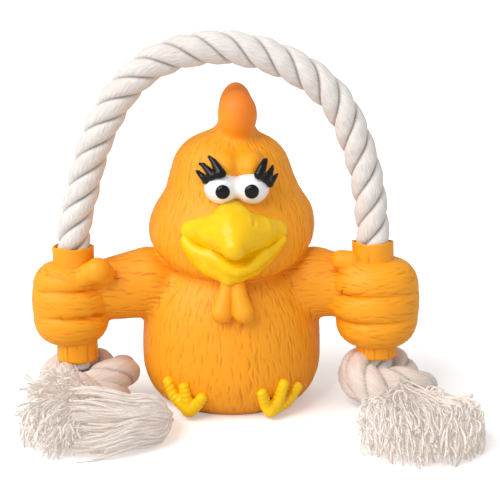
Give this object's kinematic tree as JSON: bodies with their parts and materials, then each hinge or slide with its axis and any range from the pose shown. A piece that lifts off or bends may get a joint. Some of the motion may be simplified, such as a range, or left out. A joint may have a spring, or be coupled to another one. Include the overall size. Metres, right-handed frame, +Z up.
{
  "type": "rubber chicken",
  "caption": "Squeaky hollow latex chicken that grips a knotted cotton tug rope in both fists and stands on its flat base.",
  "frame": {"origin": "on the floor under the middle of the chicken's bounding box, the rope, knots and tassels left out", "axes": "+Z up, the chicken faces -Y, +X towards its own left hand, which is the right of a viewer who faces it; node names call the -X side left and the +X side right"},
  "size_m": [0.1943, 0.1224, 0.1638],
  "materials": {
    "orange_latex": "satin cast latex",
    "comb_paint": "airbrushed satin paint on latex",
    "yellow_paint": "gloss paint on latex",
    "white_paint": "gloss paint on latex",
    "black_paint": "gloss paint on latex",
    "squeaker_plastic": "moulded polyethylene",
    "cotton_rope": "undyed three-strand twisted cotton"
  },
  "bodies": {
    "torso": {"torso_skin": "orange_latex", "head_skin": "orange_latex", "comb": "comb_paint", "upper_beak": "yellow_paint", "lower_beak": "yellow_paint", "left_eye": "white_paint", "left_pupil": "black_paint", "left_eyelashes": "black_paint", "left_wattle": "orange_latex", "left_foot": "yellow_paint", "right_eye": "white_paint", "right_pupil": "black_paint", "right_eyelashes": "black_paint", "right_wattle": "orange_latex", "right_foot": "yellow_paint", "squeaker_case": "squeaker_plastic", "squeaker_cap": "squeaker_plastic", "squeaker_reed": "squeaker_plastic"},
    "left_arm": {"left_arm": "orange_latex", "left_fist": "orange_latex", "left_thumb": "orange_latex", "left_sleeve": "orange_latex"},
    "right_arm": {"right_arm": "orange_latex", "right_fist": "orange_latex", "right_thumb": "orange_latex", "right_sleeve": "orange_latex"},
    "rope": {"rope": "cotton_rope", "left_knot": "cotton_rope", "right_knot": "cotton_rope"},
    "left_tassel": {"left_tassel": "cotton_rope"},
    "right_tassel": {"right_tassel": "cotton_rope"}
  },
  "joints": [
    {"name": "left_shoulder", "type": "hinge", "parent": "torso", "child": "left_arm", "pos_m": [-0.0357, -0.0035, 0.054], "axis": [1, 0, 0], "range_deg": [-20, 12], "stiffness_Nm_per_rad": 1.5},
    {"name": "right_shoulder", "type": "hinge", "parent": "torso", "child": "right_arm", "pos_m": [0.0407, -0.0035, 0.054], "axis": [1, 0, 0], "range_deg": [-20, 12], "stiffness_Nm_per_rad": 1.5},
    {"name": "rope_slide", "type": "slide", "parent": "left_arm", "child": "rope", "axis": [0, 0, 1], "range_m": [-0.008, 0]},
    {"name": "left_tassel_hinge", "type": "hinge", "parent": "rope", "child": "left_tassel", "pos_m": [-0.058, -0.0355, 0.01], "axis": [-1, 0, 0], "range_deg": [0, 60]},
    {"name": "right_tassel_hinge", "type": "hinge", "parent": "rope", "child": "right_tassel", "pos_m": [0.071, -0.0355, 0.01], "axis": [-1, 0, 0], "range_deg": [0, 60]}
  ],
  "couplings": [
    {"joint": "right_shoulder", "follows": "left_shoulder", "ratio": 1}
  ]
}
